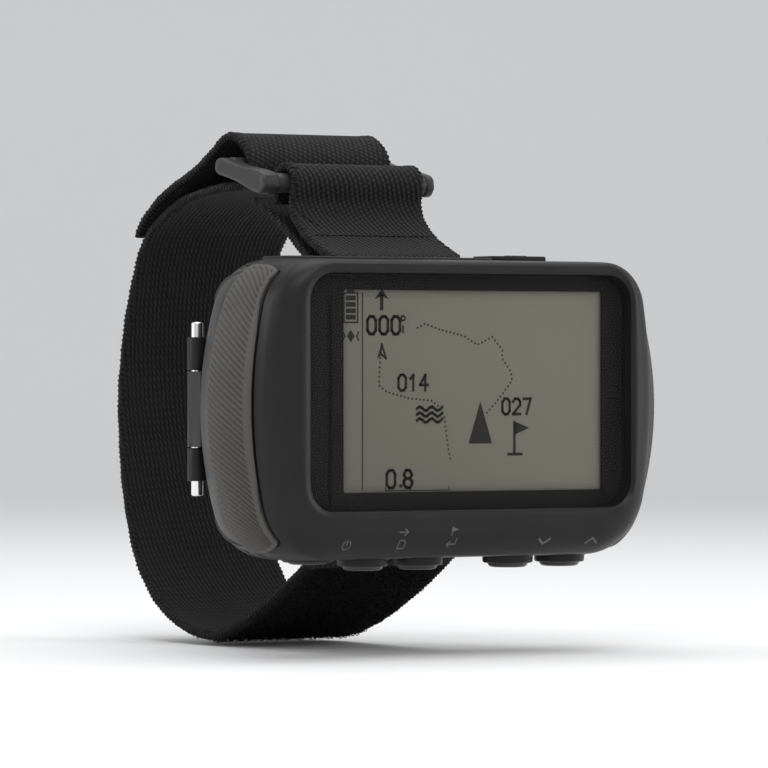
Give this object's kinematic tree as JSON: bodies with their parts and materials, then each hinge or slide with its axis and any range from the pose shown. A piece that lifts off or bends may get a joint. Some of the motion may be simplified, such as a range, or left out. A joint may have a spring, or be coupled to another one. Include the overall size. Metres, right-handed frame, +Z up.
{
  "type": "wrist-worn aviation gps",
  "caption": "Small rounded GPS receiver with a landscape screen, a row of keys underneath and a hook-and-loop strap that closes round the wrist behind it.",
  "frame": {"origin": "on the front face of the window, at the window's mid height and the case's mid width", "axes": "+X to the right as the screen is read, -Y out of the screen towards the reader, +Z up the screen"},
  "size_m": [0.073, 0.0748, 0.0726],
  "materials": {
    "shell": "satin black moulded plastic",
    "door_plastic": "satin dark grey moulded plastic",
    "grip_rubber": "ribbed warm grey rubber",
    "seal_rubber": "plain black rubber",
    "cap_rubber": "matte black rubber",
    "window": "clear polished window",
    "window_print": "dark printed border behind the window",
    "glue": "black adhesive tape",
    "display": "olive grey reflective display with near-black marks",
    "white_plastic": "white light guide",
    "zebra_rubber": "striped contact rubber",
    "board": "green solder mask",
    "chip": "black moulded package",
    "tin": "tin-plated steel sheet",
    "patch_ceramic": "tan ceramic patch",
    "switch_plastic": "pale switch body",
    "inner_plastic": "dark grey moulded plastic",
    "cell_wrap": "printed film wrap, two plain colours",
    "nickel": "nickel-plated spring steel",
    "steel": "bright turned steel",
    "flex": "amber flat cable",
    "key_plastic": "dark gunmetal key",
    "strap_fabric": "black hook-and-loop webbing",
    "ring_plastic": "dark grey satin plastic"
  },
  "bodies": {
    "case": {"front_shell": "shell", "back_shell": "shell", "case_gasket": "seal_rubber", "window_glass": "window", "window_mask": "window_print", "window_adhesive": "glue", "lcd_panel": "display", "lcd_backlight": "white_plastic", "lcd_connector": "zebra_rubber", "main_board": "board", "board_chips": "chip", "rf_shield": "tin", "gps_antenna": "patch_ceramic", "buzzer": "chip", "key_switches": "switch_plastic", "key_membrane": "seal_rubber", "battery_tube": "inner_plastic", "battery_upper": "cell_wrap", "battery_lower": "cell_wrap", "inner_contacts": "nickel", "hinge_pin": "steel", "grip_right": "grip_rubber", "case_screws": "steel", "usb_board": "board", "usb_socket": "tin", "usb_ribbon": "flex", "upper_strap_bar": "steel", "lower_strap_bar": "steel", "short_strap": "strap_fabric", "main_strap": "strap_fabric"},
    "door": {"battery_door": "door_plastic", "grip_left": "grip_rubber", "door_seal": "seal_rubber", "door_contact": "nickel"},
    "power_button": {"power_button": "key_plastic"},
    "page_button": {"page_button": "key_plastic"},
    "enter_button": {"enter_button": "key_plastic"},
    "down_button": {"down_button": "key_plastic"},
    "up_button": {"up_button": "key_plastic"},
    "socket_cap": {"usb_cap": "cap_rubber"},
    "ring": {"strap_ring": "ring_plastic"}
  },
  "joints": [
    {"name": "door_hinge", "type": "hinge", "parent": "case", "child": "door", "pos_m": [-0.0316, 0.0192, -0.00235], "axis": [0, 0, -1], "range_deg": [0, 100]},
    {"name": "power_button_press", "type": "slide", "parent": "case", "child": "power_button", "axis": [0, 0, 1], "range_m": [0, 0.00045], "stiffness_N_per_m": 3000, "springref_m": -0.0003},
    {"name": "page_button_press", "type": "slide", "parent": "case", "child": "page_button", "axis": [0, 0, 1], "range_m": [0, 0.00045], "stiffness_N_per_m": 3000, "springref_m": -0.0003},
    {"name": "enter_button_press", "type": "slide", "parent": "case", "child": "enter_button", "axis": [0, 0, 1], "range_m": [0, 0.00045], "stiffness_N_per_m": 3000, "springref_m": -0.0003},
    {"name": "down_button_press", "type": "slide", "parent": "case", "child": "down_button", "axis": [0, 0, 1], "range_m": [0, 0.00045], "stiffness_N_per_m": 3000, "springref_m": -0.0003},
    {"name": "up_button_press", "type": "slide", "parent": "case", "child": "up_button", "axis": [0, 0, 1], "range_m": [0, 0.00045], "stiffness_N_per_m": 3000, "springref_m": -0.0003},
    {"name": "cap_hinge", "type": "hinge", "parent": "case", "child": "socket_cap", "pos_m": [0.0179, 0.0185, 0.01845], "axis": [-1, 0, 0], "range_deg": [0, 110]},
    {"name": "ring_swing", "type": "hinge", "parent": "case", "child": "ring", "pos_m": [0.0003, 0.0301, 0.0291], "axis": [1, 0, 0], "range_deg": [-1.5, 1.5]}
  ]
}
